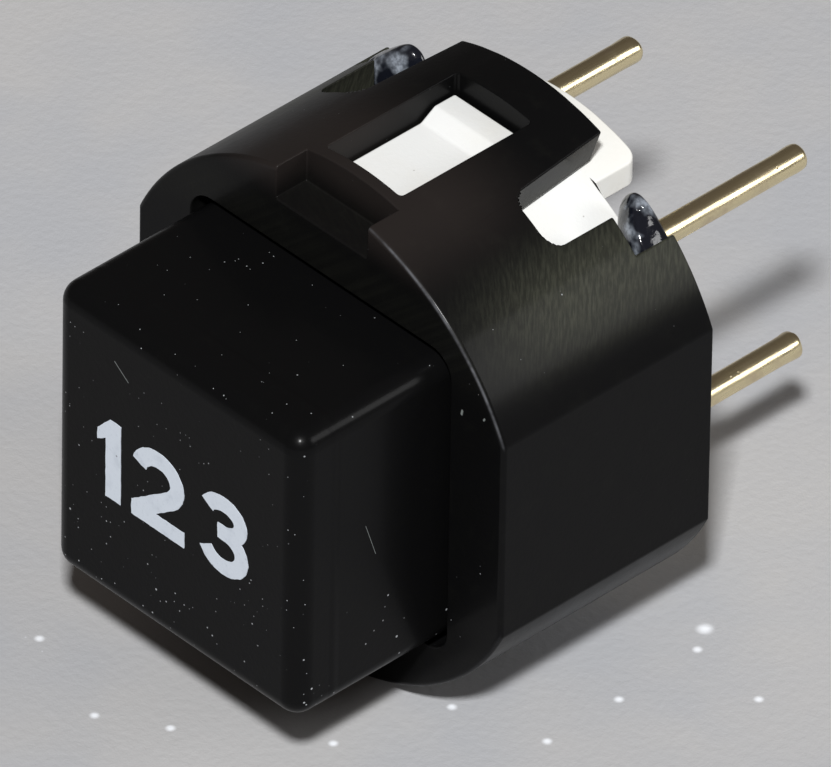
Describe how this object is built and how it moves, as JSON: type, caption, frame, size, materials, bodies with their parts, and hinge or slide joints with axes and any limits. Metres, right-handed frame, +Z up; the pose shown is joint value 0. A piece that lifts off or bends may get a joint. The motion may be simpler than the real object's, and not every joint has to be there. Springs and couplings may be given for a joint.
{
  "type": "pushbutton switch",
  "caption": "Momentary pushbutton switch: round black body with flats, square printed keycap, white latched base and round wire pins on a square grid.",
  "frame": {"origin": "centre of the box on X and Y, on the surface that the underside of the barrel lies on", "axes": "+Y along the barrel axis from the button face to the pin tips, +X across the flats, +Z up"},
  "size_m": [0.0114, 0.0158, 0.0122],
  "materials": {
    "shell_black": "satin moulded",
    "cap_black": "fine satin, printed face",
    "plunger_black": "satin moulded",
    "spring_steel": "drawn wire",
    "base_white": "smooth moulded",
    "contact_bronze": "rolled sheet",
    "contact_brass": "rolled sheet",
    "pin_brass": "plated drawn wire"
  },
  "bodies": {
    "housing": {"housing_shell": "shell_black", "contact_base": "base_white", "contact_strip_left": "contact_brass", "contact_strip_right": "contact_brass", "terminal_pin_1": "pin_brass", "terminal_pin_2": "pin_brass", "terminal_pin_3": "pin_brass", "terminal_pin_4": "pin_brass", "return_spring": "spring_steel"},
    "button": {"keycap": "cap_black", "plunger": "plunger_black", "contact_bridge": "contact_bronze"}
  },
  "joints": [
    {"name": "button_press", "type": "slide", "parent": "housing", "child": "button", "axis": [0, 1, 0], "range_m": [0, 0.0009], "stiffness_N_per_m": 400, "deforming": ["return_spring"]}
  ]
}
